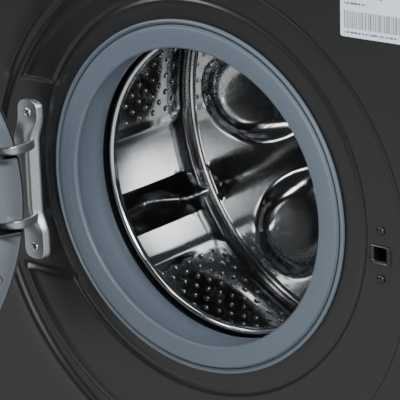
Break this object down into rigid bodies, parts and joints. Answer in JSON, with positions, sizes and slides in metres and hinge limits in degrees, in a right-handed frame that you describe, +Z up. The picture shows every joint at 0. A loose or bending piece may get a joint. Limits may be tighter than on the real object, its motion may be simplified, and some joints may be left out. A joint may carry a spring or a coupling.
{
  "type": "front load washing machine",
  "caption": "Freestanding front loading washing machine with an open round door, rubber door seal, polished perforated drum, detergent drawer and control dial.",
  "frame": {"origin": "centre of the bounding box's footprint on the floor, with the door open as at rest", "axes": "+Z up, +Y from the door into the machine, +X to the right seen from the front"},
  "size_m": [0.7348, 1.0112, 0.85],
  "materials": {
    "graphite_paint": "fine textured matt dark graphite coating on sheet steel",
    "lid_laminate": "chipboard worktop faced in matt dark graphite laminate",
    "graphite_plastic": "moulded dark graphite plastic with a fine grain",
    "black_gloss": "smoked polished display window",
    "satin_metal": "satin spun metal",
    "grey_plastic": "light grey moulded plastic",
    "tub_plastic": "filled grey tub plastic",
    "white_plastic": "white moulded plastic",
    "black_plastic": "black moulded plastic",
    "grey_rubber": "blue-grey moulded rubber with soft ribs",
    "black_rubber": "black rubber",
    "zinc_plated_steel": "bright zinc plated steel",
    "black_steel": "black coated steel",
    "polished_steel": "mirror polished stainless steel, pierced and embossed",
    "cast_metal": "fine grained die casting",
    "concrete": "grey cast concrete",
    "bowl_glass": "clear pressed glass, faint grey tint",
    "label_film": "white satin film"
  },
  "bodies": {
    "cabinet": {"front_panel": "graphite_paint", "rating_label": "label_film", "door_gasket": "grey_rubber", "gasket_clamp_ring": "black_steel", "tub_front": "tub_plastic", "tub_rear": "tub_plastic", "counterweight_front": "concrete", "counterweight_top": "concrete", "spring_left": "black_steel", "spring_right": "black_steel", "damper_left": "black_plastic", "damper_right": "black_plastic", "heater": "zinc_plated_steel", "drain_pump": "black_plastic", "sump_hose": "black_rubber", "drum_bearing": "black_steel", "motor_housing": "black_steel", "drive_belt": "black_rubber", "door_lock": "black_plastic", "latch_screw_upper": "black_steel", "hinge_screw_upper": "zinc_plated_steel", "latch_screw_lower": "black_steel", "hinge_screw_lower": "zinc_plated_steel", "hinge_bracket": "cast_metal", "hinge_pin": "zinc_plated_steel", "side_panel_right": "graphite_paint", "side_panel_left": "graphite_paint", "rear_panel": "zinc_plated_steel", "top_lid": "lid_laminate", "base_pan": "zinc_plated_steel", "foot_1": "black_rubber", "foot_2": "black_rubber", "foot_3": "black_rubber", "foot_4": "black_rubber", "control_fascia": "graphite_plastic", "display_lens": "black_gloss", "dispenser_box": "tub_plastic", "inlet_valve": "white_plastic", "drain_outlet": "black_plastic", "power_inlet": "black_plastic"},
    "door": {"door_ring": "graphite_plastic", "door_plate": "grey_plastic", "door_glass": "bowl_glass", "door_hinge_arm": "cast_metal"},
    "hook": {"door_hook": "cast_metal"},
    "drum": {"drum_shell": "polished_steel", "drum_back": "polished_steel", "lifter_1": "polished_steel", "lifter_2": "polished_steel", "lifter_3": "polished_steel", "drum_spider": "cast_metal", "drum_shaft": "black_steel", "drum_pulley": "cast_metal"},
    "motor_rotor": {"motor_pulley": "black_steel"},
    "drawer": {"detergent_drawer": "grey_plastic", "drawer_front": "graphite_plastic"},
    "knob": {"programme_knob": "satin_metal"},
    "button": {"power_button": "satin_metal"},
    "flap": {"filter_flap": "graphite_paint"},
    "filter_cap": {"pump_filter_cap": "grey_plastic"}
  },
  "joints": [
    {"name": "door_hinge", "type": "hinge", "parent": "cabinet", "child": "door", "pos_m": [-0.16014, -0.06939, 0.425], "axis": [0, 0, 1], "range_deg": [0, 115]},
    {"name": "hook_pivot", "type": "hinge", "parent": "door", "child": "hook", "pos_m": [-0.33781, -0.47644, 0.41], "axis": [0, 0, 1], "range_deg": [0, 4], "stiffness_Nm_per_rad": 0.5},
    {"name": "drum_spin", "type": "hinge", "parent": "cabinet", "child": "drum", "pos_m": [0.06986, -0.03639, 0.425], "axis": [0, 1, 0], "continuous": true},
    {"name": "motor_spin", "type": "hinge", "parent": "cabinet", "child": "motor_rotor", "pos_m": [0.10986, -0.03639, 0.095], "axis": [0, 1, 0], "continuous": true},
    {"name": "drawer_slide", "type": "slide", "parent": "cabinet", "child": "drawer", "axis": [0, -1, 0], "range_m": [0, 0.16]},
    {"name": "knob_turn", "type": "hinge", "parent": "cabinet", "child": "knob", "pos_m": [0.06986, -0.03639, 0.7697], "axis": [0, -1, 0], "continuous": true},
    {"name": "power_press", "type": "slide", "parent": "cabinet", "child": "button", "axis": [0, 1, 0], "range_m": [0, 0.002], "stiffness_N_per_m": 600},
    {"name": "flap_hinge", "type": "hinge", "parent": "cabinet", "child": "flap", "pos_m": [0.27586, -0.03689, 0.0595], "axis": [1, 0, 0], "range_deg": [0, 90]},
    {"name": "filter_cap_turn", "type": "hinge", "parent": "cabinet", "child": "filter_cap", "pos_m": [0.27586, -0.03639, 0.092], "axis": [0, -1, 0], "range_deg": [0, 180]}
  ],
  "couplings": [
    {"joint": "motor_spin", "follows": "drum_spin", "ratio": 14}
  ]
}
